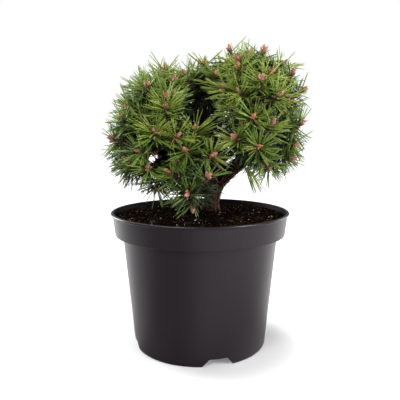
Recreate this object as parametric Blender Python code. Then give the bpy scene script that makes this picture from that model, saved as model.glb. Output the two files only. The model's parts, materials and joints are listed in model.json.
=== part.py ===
import math
import random

import bmesh
import bpy
import numpy as np
from mathutils import Matrix, Vector

# A dwarf mugo pine in a round nursery pot.
# Metres, +Z up. The origin is the middle of the pot's flat underside, and -Y is the front.

# Gap kept between neighbouring solids, and how far a cutter runs past what it cuts
GAP = 0.0003
OVERCUT = 0.0050

# The pot: outer radii and heights, from the foot up
POT_HEIGHT = 0.145
POT_SIDES = 48
WALL = 0.0016
FOOT_RADIUS = 0.0715
FOOT_ROUNDING = 0.0020
BODY_TOP_RADIUS = 0.0829
BAND_FOOT_HEIGHT = 0.1216
BAND_FOOT_RADIUS = 0.0908
BAND_TOP_RADIUS = 0.0934
LIP_RADIUS = 0.0950
LIP_HEIGHT = 0.0024
LIP_EDGES = (0.7, 0.2)

# The drain channels that notch the pot's foot
CHANNELS = 4
FIRST_CHANNEL_DEG = -75.3
CHANNEL_HEIGHT = 0.0085
CHANNEL_FOOT_WIDTH = 0.0330
CHANNEL_ROOF_WIDTH = 0.0195
CHANNEL_INNER_RADIUS = 0.0460
DRAIN_RADIUS = 0.0030
DRAIN_SIDES = 8

# The compost: a low mound with a flat top where the trunk stands
SOIL_EDGE_HEIGHT = 0.1385
SOIL_TOP_HEIGHT = 0.1435
SOIL_TOP_RADIUS = 0.0300

# The trunk, from its flare at the compost to its last fork
TRUNK_FOOT = Vector((0.011, 0.006, SOIL_TOP_HEIGHT + GAP))
TRUNK_TIP = Vector((0.058, 0.006, 0.204))
TRUNK_TIP_WAY = Vector((0.80, 0, 0.60))
TRUNK_FOOT_RADIUS = 0.0083
TRUNK_TIP_RADIUS = 0.0046
TRUNK_FLARE = 0.0034
TRUNK_FLARE_HEIGHT = 0.0060
TRUNK_STEPS = 7
TRUNK_SIDES = 9

# Boughs and side boughs. A limb's curve holds each end's direction for a share of its length, and a bough
# leaves its parent partly along it.
CURVE_HOLD = 0.4
LEAVE_ALONG = 0.5
BOUGH_ROOT_RADIUS = 0.0046
SIDE_BOUGH_ROOT_RADIUS = 0.0032
BOUGH_TIP_RADIUS = 0.0020
BOUGH_STEPS = 4
LIMB_SAMPLES = 30
CUT_REACH = 0.0010
BOUGH_SIDES = 5

# A mass: a short stem, a leading shoot and a whorl of side shoots round it
SEED = 11
STEM_LENGTH = 0.0080
WHORL_SPREAD_DEG = 58.0
WHORL_JITTER_DEG = 8.0
TWIG_LIFT = 0.10
BUD_LIFT = 0.50
TWIG_RADIUS = 0.0013
TWIG_STEPS = 2
TWIG_SHARES = (1.0, 0.9, 0.8)
TWIG_SPACING = 0.0005
SHOOT_SIDES = 3

# A shoot: each station of its core by its distance behind the bud and its radius, and the angle between the
# shoot and the needles that stand out of the core between one station and the next
CORE = ((0.0170, 0.0034), (0.0115, 0.0043), (0.0060, 0.0040), (0.0010, 0.0028))
NEEDLE_TILT_DEG = (92.0, 74.0, 56.0)
NEEDLE_JITTER_DEG = 9.0
NEEDLE_LENGTH = 0.0270
NEEDLE_VARIES = (0.88, 1.08)
NEEDLE_SHARES = (1.0, 0.88, 0.76, 0.64, 0.52)
NEEDLE_SAMPLES = 5
SIBLING_OVERLAP = 0.0120
NEEDLE_RADIUS = 0.0018
BUD_LENGTH = 0.0050
BUD_RADIUS = 0.0005

# Where the distance to a stem and to each stretch of a twig is measured, as shares of its length
STEM_SAMPLES = (0.1, 0.4, 0.7, 1.0)
TWIG_SAMPLES = (0.0, 0.33, 0.67)

# The hearts that the masses of each side of the crown face away from
HEARTS = {
    "left": Vector((-0.035, 0.005, 0.205)),
    "middle": Vector((0.005, 0.005, 0.205)),
    "right": Vector((0.050, 0.005, 0.228)),
}

# Each mass: its side of the crown; the limb that its bough springs from, and at which share of that limb's
# length; the place of its leading bud; how far its twigs reach from their fork; its number of shoots; and
# where the first shoot of its whorl stands, in degrees clockwise from straight up as seen from outside.
# Parents come before the boughs that they carry.
MASSES = (
    ("right_top", "right", "trunk", 1.00, (0.062, -0.030, 0.308), 0.030, 5, 0),
    ("right_edge", "right", "right_top", 0.30, (0.104, -0.015, 0.238), 0.030, 5, 20),
    ("right_low", "right", "trunk", 0.66, (0.055, -0.066, 0.216), 0.026, 4, 40),
    ("right_back", "right", "trunk", 0.62, (0.072, 0.066, 0.222), 0.034, 6, 0),
    ("crest", "middle", "trunk", 0.48, (0.005, -0.010, 0.298), 0.030, 5, 60),
    ("back", "middle", "trunk", 0.40, (0.008, 0.075, 0.212), 0.034, 6, 0),
    ("left_top", "left", "trunk", 0.34, (-0.036, -0.008, 0.292), 0.030, 5, 60),
    ("left_side", "left", "trunk", 0.24, (-0.088, 0.000, 0.212), 0.030, 6, 45),
    ("left_middle", "left", "trunk", 0.30, (-0.043, -0.062, 0.230), 0.026, 4, 100),
    ("left_back", "left", "trunk", 0.22, (-0.080, 0.042, 0.232), 0.032, 5, 0),
    ("front_low", "middle", "trunk", 0.20, (-0.012, -0.062, 0.170), 0.026, 4, 300),
    ("top", "right", "right_top", 0.62, (0.030, -0.006, 0.313), 0.028, 4, 200),
    ("right_face", "right", "right_top", 0.45, (0.037, -0.042, 0.290), 0.028, 4, 210),
    ("right_shoulder", "right", "right_top", 0.30, (0.090, -0.031, 0.286), 0.030, 5, 30),
    ("right_front", "right", "right_top", 0.25, (0.058, -0.058, 0.278), 0.026, 4, 250),
    ("right_crown_back", "right", "right_top", 0.40, (0.048, 0.042, 0.298), 0.034, 6, 45),
    ("right_middle", "right", "right_low", 0.45, (0.050, -0.062, 0.243), 0.026, 4, 60),
    ("right_skirt", "right", "right_edge", 0.40, (0.092, -0.022, 0.203), 0.028, 4, 100),
    ("right_rear", "right", "right_back", 0.45, (0.090, 0.045, 0.266), 0.034, 6, 0),
    ("front_centre", "middle", "left_middle", 0.30, (-0.014, -0.055, 0.212), 0.028, 5, 15),
    ("crest_back", "middle", "crest", 0.50, (0.002, 0.060, 0.265), 0.034, 6, 0),
    ("left_shoulder", "left", "left_top", 0.50, (-0.051, -0.045, 0.273), 0.026, 4, 230),
    ("left_front", "left", "left_middle", 0.55, (-0.032, -0.060, 0.253), 0.028, 4, 20),
    ("left_edge", "left", "left_side", 0.55, (-0.075, -0.045, 0.243), 0.028, 4, 100),
    ("left_skirt", "left", "left_side", 0.42, (-0.050, -0.050, 0.195), 0.030, 5, 0),
    ("left_crown_back", "left", "left_top", 0.55, (-0.048, 0.038, 0.280), 0.034, 6, 0),
    ("left_low_back", "left", "left_back", 0.50, (-0.048, 0.062, 0.200), 0.032, 5, 0),
)

# Colour, roughness and metallic value of each finish
FINISHES = {
    "black_plastic": ((0.022, 0.021, 0.023), 0.42, 0.0),
    "compost": ((0.030, 0.018, 0.011), 0.95, 0.0),
    "bark": ((0.085, 0.045, 0.026), 0.90, 0.0),
    "needles": ((0.105, 0.190, 0.040), 0.55, 0.0),
}


def clear_scene():
    for old in list(bpy.data.objects):
        bpy.data.objects.remove(old)


def finish_of(name):
    found = bpy.data.materials.get(name)
    if found:
        return found
    colour, roughness, metallic = FINISHES[name]
    made = bpy.data.materials.new(name)
    made.use_nodes = True
    shader = made.node_tree.nodes["Principled BSDF"]
    shader.inputs["Base Color"].default_value = (*colour, 1.0)
    shader.inputs["Roughness"].default_value = roughness
    shader.inputs["Metallic"].default_value = metallic
    return made


def object_from(bm, name, finish=None):
    mesh = bpy.data.meshes.new(name)
    bmesh.ops.recalc_face_normals(bm, faces=bm.faces)
    if bm.calc_volume(signed=True) < 0:
        bmesh.ops.reverse_faces(bm, faces=bm.faces)
    bm.to_mesh(mesh)
    bm.free()
    made = bpy.data.objects.new(name, mesh)
    bpy.context.scene.collection.objects.link(made)
    if finish:
        mesh.materials.append(finish_of(finish))
    return made


def keep_largest_piece(obj):
    """A cut can leave a loose scrap, which is dropped."""
    bm = bmesh.new()
    bm.from_mesh(obj.data)
    left = set(bm.verts)
    pieces = []
    while left:
        piece = {left.pop()}
        edge = list(piece)
        while edge:
            near = [e.other_vert(v) for v in edge for e in v.link_edges]
            edge = [v for v in set(near) if v in left]
            left.difference_update(edge)
            piece.update(edge)
        pieces.append(piece)
    largest = max(pieces, key=surface_area)
    scraps = [v for v in bm.verts if v not in largest]
    bmesh.ops.delete(bm, geom=scraps, context="VERTS")
    bm.to_mesh(obj.data)
    bm.free()


def surface_area(verts):
    return sum(face.calc_area() for face in {face for v in verts for face in v.link_faces})


def combine(obj, others, operation, solver="EXACT"):
    """Joins others to obj, or cuts them from it, and removes them."""
    group = bpy.data.collections.new(obj.name + "_group")
    bpy.context.scene.collection.children.link(group)
    for other in others:
        bpy.context.scene.collection.objects.unlink(other)
        group.objects.link(other)
    modifier = obj.modifiers.new("combine", "BOOLEAN")
    modifier.operation = operation
    modifier.operand_type = "COLLECTION"
    modifier.collection = group
    modifier.solver = solver
    graph = bpy.context.evaluated_depsgraph_get()
    mesh = bpy.data.meshes.new_from_object(obj.evaluated_get(graph))
    obj.modifiers.clear()
    obj.data = mesh
    mesh.name = obj.name
    for other in others:
        bpy.data.objects.remove(other)
    bpy.data.collections.remove(group)
    keep_largest_piece(obj)


def turned(profile, name, finish=None):
    """A solid of revolution. The profile runs from the axis at the foot to the axis at the top."""
    bm = bmesh.new()
    verts = [bm.verts.new((r, 0.0, z)) for r, z in profile]
    edges = [bm.edges.new(pair) for pair in zip(verts, verts[1:])]
    bmesh.ops.spin(
        bm, geom=verts + edges, cent=(0, 0, 0), axis=(0, 0, 1), angle=math.tau, steps=POT_SIDES, use_merge=True
    )
    bmesh.ops.remove_doubles(bm, verts=bm.verts, dist=1e-6)
    return object_from(bm, name, finish)


def pot_outer_profile():
    shoulder = FOOT_ROUNDING / 2
    return (
        (0.0, 0.0),
        (FOOT_RADIUS - FOOT_ROUNDING, 0.0),
        (FOOT_RADIUS, FOOT_ROUNDING),
        (BODY_TOP_RADIUS, BAND_FOOT_HEIGHT),
        (BAND_FOOT_RADIUS - shoulder, BAND_FOOT_HEIGHT),
        (BAND_FOOT_RADIUS, BAND_FOOT_HEIGHT + shoulder),
        (BAND_TOP_RADIUS, POT_HEIGHT - LIP_HEIGHT),
        *((LIP_RADIUS, POT_HEIGHT - LIP_HEIGHT * share) for share in LIP_EDGES),
        (LIP_RADIUS - WALL / 2, POT_HEIGHT),
        (0.0, POT_HEIGHT),
    )


def wall_radius(height, inset):
    """Radius of the pot's inner wall at this height, less an inset."""
    shoulder = BAND_FOOT_HEIGHT + WALL
    if height < shoulder:
        share = height / shoulder
        return FOOT_RADIUS + (BODY_TOP_RADIUS - FOOT_RADIUS) * share - WALL - inset
    share = (height - shoulder) / (POT_HEIGHT - shoulder)
    return BAND_FOOT_RADIUS + (BAND_TOP_RADIUS - BAND_FOOT_RADIUS) * share - WALL - inset


def cavity_profile(inset, top):
    """The pot's inside, shrunk by an inset, from its floor to the heights in top."""
    floor = WALL + inset
    below = BAND_FOOT_HEIGHT + WALL + inset
    just_under = BAND_FOOT_HEIGHT + WALL - GAP
    return (
        (0.0, floor),
        (wall_radius(floor, inset), floor),
        (wall_radius(just_under, inset), below),
        (wall_radius(below, inset), below),
        *top,
    )


def channel_block(index, swell, name):
    """The space of one drain channel, a wedge-sided block along a radius, swollen on all its inner sides."""
    length = LIP_RADIUS - CHANNEL_INNER_RADIUS + swell
    middle = (LIP_RADIUS + CHANNEL_INNER_RADIUS - swell) / 2
    bm = bmesh.new()
    bmesh.ops.create_cube(bm, size=1.0)
    height = CHANNEL_HEIGHT + swell
    widening = (CHANNEL_FOOT_WIDTH - CHANNEL_ROOF_WIDTH) * OVERCUT / CHANNEL_HEIGHT
    for v in bm.verts:
        top = v.co.z > 0
        width = CHANNEL_ROOF_WIDTH if top else CHANNEL_FOOT_WIDTH + widening
        v.co = (middle + v.co.x * length, v.co.y * (width + 2 * swell), height if top else -OVERCUT)
    turn = math.radians(FIRST_CHANNEL_DEG + 360.0 / CHANNELS * index)
    bmesh.ops.rotate(bm, verts=bm.verts, matrix=Matrix.Rotation(turn, 3, "Z"))
    return object_from(bm, name)


def drain_hole(index, name):
    """A short round cutter through the inner end of a drain channel."""
    turn = math.radians(FIRST_CHANNEL_DEG + 360.0 / CHANNELS * index)
    reach = Vector((CHANNEL_INNER_RADIUS, 0, CHANNEL_HEIGHT / 2))
    bm = bmesh.new()
    place = Matrix.Rotation(turn, 4, "Z") @ Matrix.Translation(reach) @ Matrix.Rotation(math.pi / 2, 4, "Y")
    bmesh.ops.create_cone(
        bm,
        cap_ends=True,
        segments=DRAIN_SIDES,
        radius1=DRAIN_RADIUS,
        radius2=DRAIN_RADIUS,
        depth=4 * WALL,
        matrix=place,
    )
    return object_from(bm, name)


def make_pot():
    over = POT_HEIGHT + OVERCUT
    lip = wall_radius(POT_HEIGHT, 0.0)
    inside = turned(cavity_profile(0.0, ((lip, POT_HEIGHT), (lip, over), (0.0, over))), "inside")
    walls = [channel_block(i, WALL, f"channel_wall_{i}") for i in range(CHANNELS)]
    combine(inside, walls, "DIFFERENCE")
    pot = turned(pot_outer_profile(), "pot", "black_plastic")
    spaces = [channel_block(i, 0.0, f"channel_{i}") for i in range(CHANNELS)]
    holes = [drain_hole(i, f"drain_{i}") for i in range(CHANNELS)]
    combine(pot, [inside], "DIFFERENCE")
    combine(pot, spaces + holes, "DIFFERENCE")


def make_soil():
    edge = wall_radius(SOIL_EDGE_HEIGHT, GAP)
    top = ((edge, SOIL_EDGE_HEIGHT), (SOIL_TOP_RADIUS, SOIL_TOP_HEIGHT), (0.0, SOIL_TOP_HEIGHT))
    soil = turned(cavity_profile(GAP, top), "soil", "compost")
    walls = [channel_block(i, WALL + GAP, f"channel_wall_{i}") for i in range(CHANNELS)]
    combine(soil, walls, "DIFFERENCE")


def frame_along(direction):
    """A rotation whose Z axis is the direction."""
    return direction.to_track_quat("Z", "Y").to_matrix().to_4x4()


def bend(start, start_way, end, end_way, share):
    """A point on the smooth curve that leaves start one way and reaches end the other way."""
    hold = (end - start).length * CURVE_HOLD
    a = start + start_way * hold
    b = end - end_way * hold
    rest = 1 - share
    return start * rest**3 + a * 3 * rest**2 * share + b * 3 * rest * share**2 + end * share**3


def ways_along(points):
    """The direction of a line of points at each of them."""
    last = len(points) - 1
    return [(points[min(i + 1, last)] - points[max(i - 1, 0)]).normalized() for i in range(last + 1)]


def tube(bm, points, ways, radii, sides, stagger=False):
    """Rings of vertices along points, joined and capped. Returns the faces of each band."""
    rings = []
    for i, (point, way, radius) in enumerate(zip(points, ways, radii)):
        turn = Matrix.Rotation(math.pi / sides * i, 4, "Z") if stagger else Matrix()
        place = Matrix.Translation(point) @ frame_along(way) @ turn
        ring = bmesh.ops.create_circle(bm, segments=sides, radius=radius, matrix=place)["verts"]
        rings.append(ring)
    bands = []
    for low, high in zip(rings, rings[1:]):
        band = []
        for i in range(sides):
            j = (i + 1) % sides
            far = high[i] if stagger else high[j]
            band.append(bm.faces.new((low[i], low[j], far)))
            band.append(bm.faces.new((high[i], low[j] if stagger else low[i], high[j])))
        bands.append(band)
    bm.faces.new(rings[0])
    bm.faces.new(rings[-1])
    return bands


class Limb:
    """The trunk or a bough: a tapering curve with a radius at every share of its length."""

    def __init__(self, name, start, start_way, end, end_way, radii):
        self.name = name
        self.ends = (start, start_way, end, end_way)
        self.radii = radii

    def at(self, share):
        return bend(*self.ends, share)

    def way(self, share):
        if share <= 0:
            return self.ends[1]
        if share >= 1:
            return self.ends[3]
        near = 1 / LIMB_SAMPLES / 2
        return (self.at(share + near) - self.at(share - near)).normalized()

    def radius(self, share):
        root, tip = self.radii
        flare = 0.0
        if self.name == "trunk":
            flare = TRUNK_FLARE * math.exp(-(self.at(share).z - TRUNK_FOOT.z) / TRUNK_FLARE_HEIGHT)
        return root + (tip - root) * share + flare

    def solid(self, name, swell=0.0, finish=None):
        steps, sides = (TRUNK_STEPS, TRUNK_SIDES) if self.name == "trunk" else (BOUGH_STEPS, BOUGH_SIDES)
        shares = [i / steps for i in range(steps + 1)]
        points = [self.at(share) for share in shares]
        points[-1] = points[-1] + self.way(1.0) * swell
        bm = bmesh.new()
        ways = [self.way(share) for share in shares]
        tube(bm, points, ways, [self.radius(share) + swell for share in shares], sides)
        return object_from(bm, name, finish)

    def lines(self):
        """Places along the limb, each with its radius."""
        shares = [i / LIMB_SAMPLES for i in range(LIMB_SAMPLES + 1)]
        return [(self.at(share), self.radius(share)) for share in shares]


class Room:
    """Places with radii, kept as arrays so that the distance to their surfaces is quick to find."""

    def __init__(self, lines):
        self.places = np.array([place for place, _ in lines])
        self.radii = np.array([radius for _, radius in lines])

    def distance(self, point):
        return float((np.linalg.norm(self.places - np.array(point), axis=1) - self.radii).min())


class Mass:
    """One mass of foliage: where its stem starts and forks, and the shoots that spring from the fork."""

    def __init__(self, name, heart, parent, share, lead, reach, count, turn):
        self.name = name
        self.parent = parent
        self.share = share
        self.lead = Vector(lead)
        self.way = (self.lead - HEARTS[heart]).normalized()
        self.reach = reach
        self.fork = self.lead - self.way * reach
        self.root = self.fork - self.way * STEM_LENGTH
        self.dice = random.Random(f"{SEED} {name}")
        self.twig_ways = self.whorl(count, math.radians(turn))
        self.shoots = []

    def whorl(self, count, turn):
        """The leading twig's direction, then those of an even whorl round it."""
        up = Vector((0, 0, 1)) - self.way * self.way.z
        up.normalize()
        right = up.cross(self.way)
        ways = [self.way]
        for i in range(count - 1):
            angle = turn + math.tau * i / (count - 1)
            spread = math.radians(WHORL_SPREAD_DEG + self.dice.uniform(-WHORL_JITTER_DEG, WHORL_JITTER_DEG))
            out = up * math.cos(angle) + right * math.sin(angle)
            way = self.way * math.cos(spread) + out * math.sin(spread)
            ways.append((way + Vector((0, 0, TWIG_LIFT))).normalized())
        return ways

    def lines(self):
        """Places along the stem and the twigs, each with its radius."""
        found = [(self.root.lerp(self.fork, share), BOUGH_TIP_RADIUS) for share in STEM_SAMPLES]
        for shoot in self.shoots:
            found += shoot.lines()
        return found


class Shoot:
    """A twig from its mass's fork, the core that ends it, and its bud."""

    def __init__(self, mass, twig_way, reach):
        self.bud = mass.fork + twig_way * reach
        self.way = (twig_way + Vector((0, 0, BUD_LIFT))).normalized()
        self.core = [self.bud - self.way * back for back, _ in CORE]
        start = mass.fork - mass.way * TWIG_RADIUS
        end = self.core[0] - self.way * TWIG_RADIUS
        self.twig = [bend(start, twig_way, end, self.way, i / TWIG_STEPS) for i in range(TWIG_STEPS + 1)]

    def lines(self):
        """Places along the twig and the core, each with its radius."""
        stations = [(place, TWIG_RADIUS) for place in self.twig[1:]]
        stations += [(place, radius) for place, (_, radius) in zip(self.core, CORE)]
        stations.append((self.bud + self.way * BUD_LENGTH, BUD_RADIUS))
        found = []
        for (a, low), (b, high) in zip(stations, stations[1:]):
            found += [(a.lerp(b, share), max(low, high)) for share in TWIG_SAMPLES]
        return found


def plan_shoots(masses, limbs):
    """Every mass gets its leading shoot, then its whorl. A twig that finds no room at any reach is left out."""
    limb_room = Room([line for limb in limbs for line in limb.lines()])
    for leading in (True, False):
        for mass in masses:
            others = Room([line for other in masses if other is not mass for line in other.lines()])
            for way in mass.twig_ways[:1] if leading else mass.twig_ways[1:]:
                for share in TWIG_SHARES:
                    shoot = Shoot(mass, way, mass.reach * share)
                    if all(
                        others.distance(place) > radius + TWIG_SPACING
                        and limb_room.distance(place) > radius + GAP
                        and pot_clearance(place) > radius + GAP
                        for place, radius in shoot.lines()
                    ):
                        mass.shoots.append(shoot)
                        break
    return limb_room


def pot_clearance(point):
    """Height or distance that a point keeps from the compost, the pot's wall and its rim."""
    if point.z > POT_HEIGHT + GAP:
        return point.z - POT_HEIGHT
    distance = math.hypot(point.x, point.y)
    if distance > LIP_RADIUS:
        return distance - LIP_RADIUS
    return min(wall_radius(point.z, 0.0) - distance, point.z - SOIL_TOP_HEIGHT)


def make_shoot(shoot, index, mass, keeps_clear):
    """A twig and its core, a needle drawn out of each face of the core's sides."""
    bm = bmesh.new()
    points = shoot.twig + shoot.core + [shoot.bud + shoot.way * BUD_LENGTH]
    radii = [TWIG_RADIUS] * len(shoot.twig) + [radius for _, radius in CORE] + [BUD_RADIUS]
    bands = tube(bm, points, ways_along(points), radii, SHOOT_SIDES, stagger=True)
    for band, tilt in zip(bands[len(shoot.twig) :], NEEDLE_TILT_DEG):
        for face in band:
            root = face.calc_center_median()
            on_axis = shoot.bud + shoot.way * (root - shoot.bud).dot(shoot.way)
            out = (root - on_axis).normalized()
            angle = math.radians(tilt + mass.dice.uniform(-NEEDLE_JITTER_DEG, NEEDLE_JITTER_DEG))
            aim = shoot.way * math.cos(angle) + out * math.sin(angle)
            length = NEEDLE_LENGTH * mass.dice.uniform(*NEEDLE_VARIES)
            for share in NEEDLE_SHARES:
                tip = root + aim * length * share
                line = [root.lerp(tip, (i + 1) / NEEDLE_SAMPLES) for i in range(NEEDLE_SAMPLES)]
                if all(keeps_clear(point, index) for point in line):
                    bmesh.ops.poke(bm, faces=[face])["verts"][0].co = tip
                    break
    return object_from(bm, f"{mass.name}_shoot_{index}")


def make_mass(mass, masses, limb_room):
    shoot_rooms = [Room(shoot.lines()) for shoot in mass.shoots]
    others = Room([line for other in masses if other is not mass for line in other.lines()])
    margin = NEEDLE_RADIUS + GAP

    def keeps_clear(point, index):
        """Nearer its own shoot than another mass or shoot, and clear of the limbs, the pot and the compost."""
        near = shoot_rooms[index].distance(point)
        siblings = [room.distance(point) for room in shoot_rooms if room is not shoot_rooms[index]]
        return (
            others.distance(point) - near > 2 * margin
            and min(siblings, default=1.0) > near - SIBLING_OVERLAP
            and limb_room.distance(point) > margin
            and pot_clearance(point) > margin
        )

    bm = bmesh.new()
    stem = [mass.root + mass.way * GAP, mass.fork + mass.way * TWIG_RADIUS]
    tube(bm, stem, [mass.way, mass.way], [BOUGH_TIP_RADIUS, BOUGH_TIP_RADIUS], BOUGH_SIDES)
    foliage = object_from(bm, "needles_" + mass.name, "needles")
    shoots = [make_shoot(shoot, i, mass, keeps_clear) for i, shoot in enumerate(mass.shoots)]
    combine(foliage, shoots, "UNION", solver="MANIFOLD")


def plan_limbs(masses):
    """The trunk, then the bough that carries each mass, each parent before its children."""
    radii = (TRUNK_FOOT_RADIUS, TRUNK_TIP_RADIUS)
    limbs = {"trunk": Limb("trunk", TRUNK_FOOT, Vector((0, 0, 1)), TRUNK_TIP, TRUNK_TIP_WAY, radii)}
    for mass in masses:
        parent = limbs[mass.parent]
        start = parent.at(mass.share)
        leave = (parent.way(mass.share) * LEAVE_ALONG + (mass.root - start).normalized()).normalized()
        root = BOUGH_ROOT_RADIUS if mass.parent == "trunk" else SIDE_BOUGH_ROOT_RADIUS
        limbs[mass.name] = Limb(mass.name, start, leave, mass.root, mass.way, (root, BOUGH_TIP_RADIUS))
    return list(limbs.values())


def make_limbs(limbs):
    """Each limb is cut clear of the limbs that come before it."""
    for i, limb in enumerate(limbs):
        solid = limb.solid("trunk" if i == 0 else "bough_" + limb.name, finish="bark")
        for other in limbs[:i]:
            if limb_gap(limb, other) < CUT_REACH:
                combine(solid, [other.solid("cutter", swell=GAP)], "DIFFERENCE")


def limb_gap(limb, other):
    """Least distance between the surfaces of two limbs."""
    surface = Room(other.lines())
    return min(surface.distance(place) - radius for place, radius in limb.lines())


def main():
    clear_scene()
    make_pot()
    make_soil()
    masses = [Mass(*row) for row in MASSES]
    limbs = plan_limbs(masses)
    make_limbs(limbs)
    limb_room = plan_shoots(masses, limbs)
    for mass in masses:
        make_mass(mass, masses, limb_room)


main()
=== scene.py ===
import json
import math
import random

import bmesh
import bpy
import numpy as np
from mathutils import Matrix, Vector, noise

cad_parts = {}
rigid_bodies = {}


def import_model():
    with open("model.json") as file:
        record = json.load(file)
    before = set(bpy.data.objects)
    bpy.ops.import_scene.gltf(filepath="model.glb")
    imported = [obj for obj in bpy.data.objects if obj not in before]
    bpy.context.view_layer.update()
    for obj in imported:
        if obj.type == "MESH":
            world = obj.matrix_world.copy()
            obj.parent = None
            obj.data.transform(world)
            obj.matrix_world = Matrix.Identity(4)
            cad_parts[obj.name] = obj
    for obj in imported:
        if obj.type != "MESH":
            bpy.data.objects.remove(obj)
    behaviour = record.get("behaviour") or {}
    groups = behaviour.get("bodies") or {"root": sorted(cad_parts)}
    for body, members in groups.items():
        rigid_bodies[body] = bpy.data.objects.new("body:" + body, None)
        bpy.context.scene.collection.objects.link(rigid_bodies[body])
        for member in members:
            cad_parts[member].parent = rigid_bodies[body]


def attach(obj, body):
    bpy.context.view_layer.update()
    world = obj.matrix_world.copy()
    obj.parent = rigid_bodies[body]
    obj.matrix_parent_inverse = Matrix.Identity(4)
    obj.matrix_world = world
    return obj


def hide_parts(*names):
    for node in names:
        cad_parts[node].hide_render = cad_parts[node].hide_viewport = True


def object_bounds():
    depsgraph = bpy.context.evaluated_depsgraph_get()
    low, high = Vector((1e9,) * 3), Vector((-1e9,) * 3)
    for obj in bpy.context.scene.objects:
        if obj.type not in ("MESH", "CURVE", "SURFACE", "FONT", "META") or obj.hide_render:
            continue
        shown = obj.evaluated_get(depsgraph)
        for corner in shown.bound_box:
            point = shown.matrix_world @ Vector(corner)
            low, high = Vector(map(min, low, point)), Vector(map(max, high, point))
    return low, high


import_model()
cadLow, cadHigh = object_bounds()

# A dwarf mugo pine in a black nursery pot. Metres, +Z up, -Y towards the camera.


# Small helpers

class Wire:  # one output of a shader node; sums with it become Math nodes
    def __init__(self, shader, socket):
        self.shader = shader
        self.socket = socket

    def sum(self, operation, first, second):
        return self.shader.node("Math", {"operation": operation}, {0: first, 1: second})

    def __add__(self, other):
        return self.sum("ADD", self, other)

    __radd__ = __add__

    def __rsub__(self, other):
        return self.sum("SUBTRACT", other, self)

    def __mul__(self, other):
        return self.sum("MULTIPLY", self, other)

    __rmul__ = __mul__


class Shader:  # a new material and its nodes
    def __init__(self, name, **plain):
        self.material = bpy.data.materials.new(name)
        self.material.use_nodes = True
        self.nodes = self.material.node_tree.nodes
        self.links = self.material.node_tree.links
        self.surface = self.nodes["Principled BSDF"]
        self.set(**plain)

    def node(self, kind, settings=None, sockets=None, output=0):
        made = self.nodes.new("ShaderNode" + kind)
        for name, value in (settings or {}).items():
            if name == "stops":
                self.setStops(made.color_ramp, value)
            else:
                setattr(made, name, value)
        for name, value in (sockets or {}).items():
            self.feed(made.inputs[name], value)
        return Wire(self, made.outputs[output])

    def setStops(self, ramp, stops):
        for i, (place, colour) in enumerate(stops):
            stop = ramp.elements[i] if i < len(ramp.elements) else ramp.elements.new(place)
            stop.position = place
            stop.color = (*colour, 1.0)

    def feed(self, socket, value):
        if isinstance(value, Wire):
            self.links.new(value.socket, socket)
        elif isinstance(value, tuple) and len(value) == 3 and socket.type == "RGBA":
            socket.default_value = (*value, 1.0)
        else:
            socket.default_value = value

    def set(self, **sockets):
        for name, value in sockets.items():
            self.feed(self.surface.inputs[name.replace("_", " ")], value)

    def place(self, scale=(1.0, 1.0, 1.0)):
        spot = self.node("TexCoord", output="Object")
        return self.node("Mapping", None, {"Vector": spot, "Scale": scale})

    def speckle(self, scale, detail=3.0, rough=0.5, stretch=(1.0, 1.0, 1.0)):
        return self.node("TexNoise", None, {
            "Vector": self.place(stretch), "Scale": scale, "Detail": detail, "Roughness": rough})

    def cracks(self, scale, stretch):  # distance from the edges of the cells
        sockets = {"Vector": self.place(stretch), "Scale": scale}
        return self.node("TexVoronoi", {"feature": "DISTANCE_TO_EDGE"}, sockets)

    def vector(self, operation, first, second=None, output="Value"):
        sockets = {0: first} if second is None else {0: first, 1: second}
        return self.node("VectorMath", {"operation": operation}, sockets, output)

    def blend(self, factor, first, second):
        return self.node("Mix", {"data_type": "RGBA"}, {0: factor, 6: first, 7: second}, output=2)

    def ramp(self, factor, *stops):
        return self.node("ValToRGB", {"stops": stops}, {0: factor})

    def step(self, factor, low, high):  # 0 below low, 1 above high, smooth between
        return self.node("MapRange", {"interpolation_type": "SMOOTHSTEP"}, {0: factor, 1: low, 2: high})

    def bump(self, height, distance, strength=1.0, below=None):
        sockets = {"Height": height, "Distance": distance, "Strength": strength}
        if below:
            sockets["Normal"] = below
        return self.node("Bump", None, sockets)


def scaled(colour, share):
    return tuple(c * share for c in colour)


def mottled(name, tone, stops, grain=None, **plain):  # two colours in patches, and fine relief
    s = Shader(name, **plain)
    s.set(Base_Color=s.ramp(s.speckle(*tone), *stops))
    if grain:
        scale, detail, rough, depth, strength = grain
        s.set(Normal=s.bump(s.speckle(scale, detail, rough), depth, strength))
    return s.material


def placed(name, data):
    made = bpy.data.objects.new(name, data)
    bpy.context.scene.collection.objects.link(made)
    return made


def addPiece(name, mesh, slot, *finishes):
    piece = placed(name, mesh)
    for finish in finishes:
        mesh.materials.append(finish)
    mesh.shade_smooth()
    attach(piece, "root")
    return piece


def meshFrom(bm, name):
    mesh = bpy.data.meshes.new(name)
    bm.to_mesh(mesh)
    bm.free()
    return mesh


def finished(piece):  # the mesh with its modifiers applied
    graph = bpy.context.evaluated_depsgraph_get()
    return bpy.data.meshes.new_from_object(piece.evaluated_get(graph))


def joinedMesh(name, points, corners):  # corners is a list of arrays, each of faces of one kind
    mesh = bpy.data.meshes.new(name)
    mesh.from_pydata(points.tolist(), [], [face for group in corners for face in group.tolist()])
    mesh.validate()
    return mesh


def bridged(rings, sides):  # the faces between rings of points
    return [(low + k, low + (k + 1) % sides, low + sides + (k + 1) % sides, low + sides + k)
            for low in range(0, (rings - 1) * sides, sides) for k in range(sides)]


def repeated(faces, count, size):  # one shape's faces for so many copies of its points
    offsets = np.arange(count)[:, None, None] * size
    return (np.array(faces)[None] + offsets).reshape(-1, len(faces[0]))


def unit(v):
    return v / np.maximum(np.linalg.norm(v, axis=-1, keepdims=True), 1e-12)


def across(ways, dice):  # for each direction, a random one square to it
    guess = dice.normal(size=ways.shape)
    return unit(np.cross(ways, guess))


# The pot

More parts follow.
